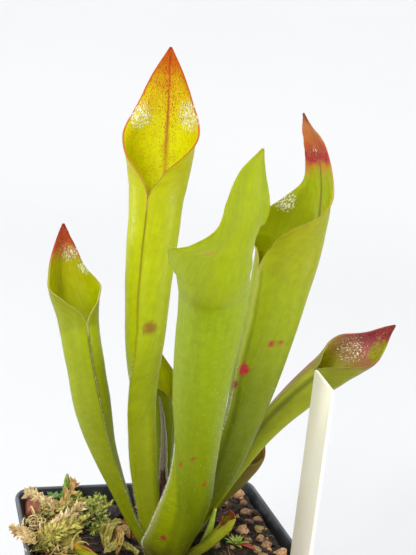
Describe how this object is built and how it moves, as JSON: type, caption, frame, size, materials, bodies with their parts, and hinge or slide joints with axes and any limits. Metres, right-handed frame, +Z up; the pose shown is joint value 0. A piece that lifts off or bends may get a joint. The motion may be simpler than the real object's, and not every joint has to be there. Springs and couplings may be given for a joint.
{
  "type": "potted sun pitcher plant",
  "caption": "Clump of hollow, hooded pitcher leaves growing from black peat in a small square nursery pot, with moss at one corner and a slim plastic plant label.",
  "frame": {"origin": "middle of the pot's flat base, where it rests", "axes": "+Z up; X and Y run along the pot's sides; the front pitcher leans towards -Y and the leaning one towards +X"},
  "size_m": [0.1101, 0.082, 0.2062],
  "materials": {
    "pot_plastic": "black injection-moulded plastic, satin",
    "peat": "damp black peat with pale and brick-coloured grains",
    "rhizome": "brown fibrous rhizome",
    "leaf_green": "waxy yellow-green leaf with fine hairs",
    "leaf_yellow": "waxy bright yellow-green leaf, hood speckled red",
    "leaf_purple": "waxy olive leaf with a purple hood",
    "leaf_red": "waxy red-brown leaf",
    "leaf_dead": "papery grey-lilac dead leaf",
    "leaf_litter": "curled yellow-brown dry leaf",
    "moss_live": "live sphagnum moss",
    "moss_dead": "dry tan sphagnum moss",
    "terracotta": "broken unglazed terracotta",
    "label_plastic": "cream plastic plant label, unprinted"
  },
  "bodies": {
    "root": {"pot": "pot_plastic", "soil": "peat", "crown": "rhizome", "pitcher_front": "leaf_green", "pitcher_tall": "leaf_yellow", "pitcher_right": "leaf_green", "pitcher_left": "leaf_green", "pitcher_leaning": "leaf_purple", "pitcher_back": "leaf_green", "pitcher_small_red": "leaf_red", "pitcher_young_right": "leaf_yellow", "pitcher_young_left": "leaf_yellow", "withered_pitcher": "leaf_dead", "young_leaf": "leaf_yellow", "seedling": "leaf_green", "moss_green": "moss_live", "moss_dry_back": "moss_dead", "moss_dry_front": "moss_dead", "moss_rim": "moss_dead", "leaf_scrap_long": "leaf_litter", "leaf_scrap_short": "leaf_litter", "chip": "terracotta", "label": "label_plastic"}
  },
  "joints": []
}
